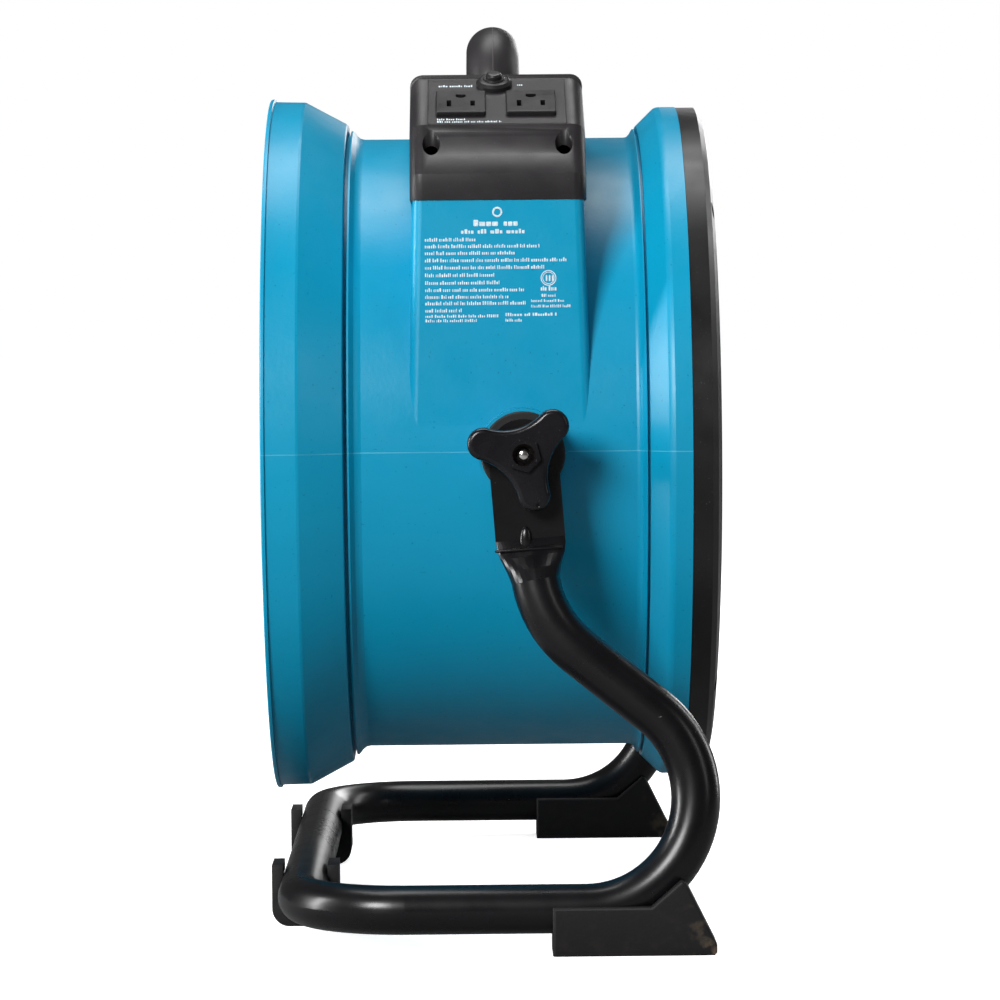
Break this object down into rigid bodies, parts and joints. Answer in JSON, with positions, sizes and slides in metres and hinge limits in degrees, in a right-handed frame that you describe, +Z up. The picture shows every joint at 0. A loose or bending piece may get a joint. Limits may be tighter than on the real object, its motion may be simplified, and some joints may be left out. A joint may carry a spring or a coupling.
{
  "type": "axial air mover",
  "caption": "Tilting axial fan: round blue duct with guards, motor and impeller, a black cover with power sockets and carrying handle, clamped in a bent tube stand on rubber feet.",
  "frame": {"origin": "on the floor, under the middle of the object", "axes": "+Z up, +X from the outlet bell towards the air intake, the tilt axis along Y, power sockets on the -Y side"},
  "size_m": [0.244, 0.512, 0.4871],
  "materials": {
    "frame_black": "satin",
    "foot_rubber": "matte",
    "zinc_steel": "satin",
    "duct_blue": "satin",
    "cover_black": "satin",
    "guard_wire": "satin",
    "motor_aluminium": "matte",
    "core_steel": "matte",
    "disc_plastic": "matte",
    "socket_plastic": "satin",
    "brass": "satin",
    "board": "matte",
    "pale_plastic": "matte",
    "impeller_plastic": "matte"
  },
  "bodies": {
    "stand": {"stand_frame": "frame_black", "rear_foot_left": "foot_rubber", "rear_foot_right": "foot_rubber", "front_foot_left": "foot_rubber", "front_foot_right": "foot_rubber", "foot_screws": "zinc_steel"},
    "housing": {"duct_housing": "duct_blue", "rear_guard": "cover_black", "front_guard": "guard_wire", "guard_badge": "cover_black", "rear_guard_screws": "zinc_steel", "front_guard_clips": "zinc_steel", "front_guard_screws": "zinc_steel", "motor_shell_front": "motor_aluminium", "motor_shell_rear": "motor_aluminium", "bearing_front": "zinc_steel", "bearing_rear": "zinc_steel", "stator": "core_steel", "motor_bracket": "frame_black", "motor_bolts": "zinc_steel", "bracket_screws": "zinc_steel", "motor_lead": "disc_plastic", "lead_grommet": "foot_rubber", "control_cover": "cover_black", "cover_screws": "zinc_steel", "carry_handle": "cover_black", "handle_screws": "zinc_steel", "socket_panel": "cover_black", "control_panel": "cover_black", "outlet_front": "socket_plastic", "outlet_rear": "socket_plastic", "outlet_contacts": "brass", "circuit_breaker": "socket_plastic", "breaker_nut": "socket_plastic", "speed_pot": "socket_plastic", "pot_nut": "zinc_steel", "cord_gland": "socket_plastic", "gland_nut": "socket_plastic", "speed_board": "board", "run_capacitor": "motor_aluminium", "terminal_block": "pale_plastic", "pivot_stud_left": "zinc_steel", "pivot_stud_right": "zinc_steel", "backing_plate_left": "zinc_steel", "backing_plate_right": "zinc_steel", "friction_disc_left": "disc_plastic", "friction_disc_right": "disc_plastic", "clamp_washer_left": "zinc_steel", "clamp_washer_right": "zinc_steel"},
    "impeller": {"impeller": "impeller_plastic", "impeller_nut": "zinc_steel", "shaft": "zinc_steel", "rotor": "core_steel"},
    "knob_left": {"clamp_knob_left": "cover_black", "knob_insert_left": "brass"},
    "knob_right": {"clamp_knob_right": "cover_black", "knob_insert_right": "brass"},
    "speed_knob": {"speed_knob": "socket_plastic", "pot_spindle": "zinc_steel"},
    "breaker_button": {"breaker_button": "socket_plastic"}
  },
  "joints": [
    {"name": "tilt", "type": "hinge", "parent": "stand", "child": "housing", "pos_m": [0.0155, 0, 0.2555], "axis": [0, 1, 0], "range_deg": [-180, 180]},
    {"name": "fan_spin", "type": "hinge", "parent": "housing", "child": "impeller", "pos_m": [0, 0, 0.2555], "axis": [1, 0, 0], "continuous": true},
    {"name": "knob_left_turn", "type": "hinge", "parent": "housing", "child": "knob_left", "pos_m": [0.0155, -0.215, 0.2555], "axis": [0, -1, 0], "continuous": true},
    {"name": "knob_right_turn", "type": "hinge", "parent": "housing", "child": "knob_right", "pos_m": [0.0155, 0.215, 0.2555], "axis": [0, 1, 0], "continuous": true},
    {"name": "speed_turn", "type": "hinge", "parent": "housing", "child": "speed_knob", "pos_m": [0.004, 0.12498, 0.44715], "axis": [0, 0.4459, 0.8951], "range_deg": [0, 270]},
    {"name": "breaker_press", "type": "slide", "parent": "housing", "child": "breaker_button", "axis": [0, 0.4459, -0.8951], "range_m": [0, 0.003], "stiffness_N_per_m": 300}
  ]
}
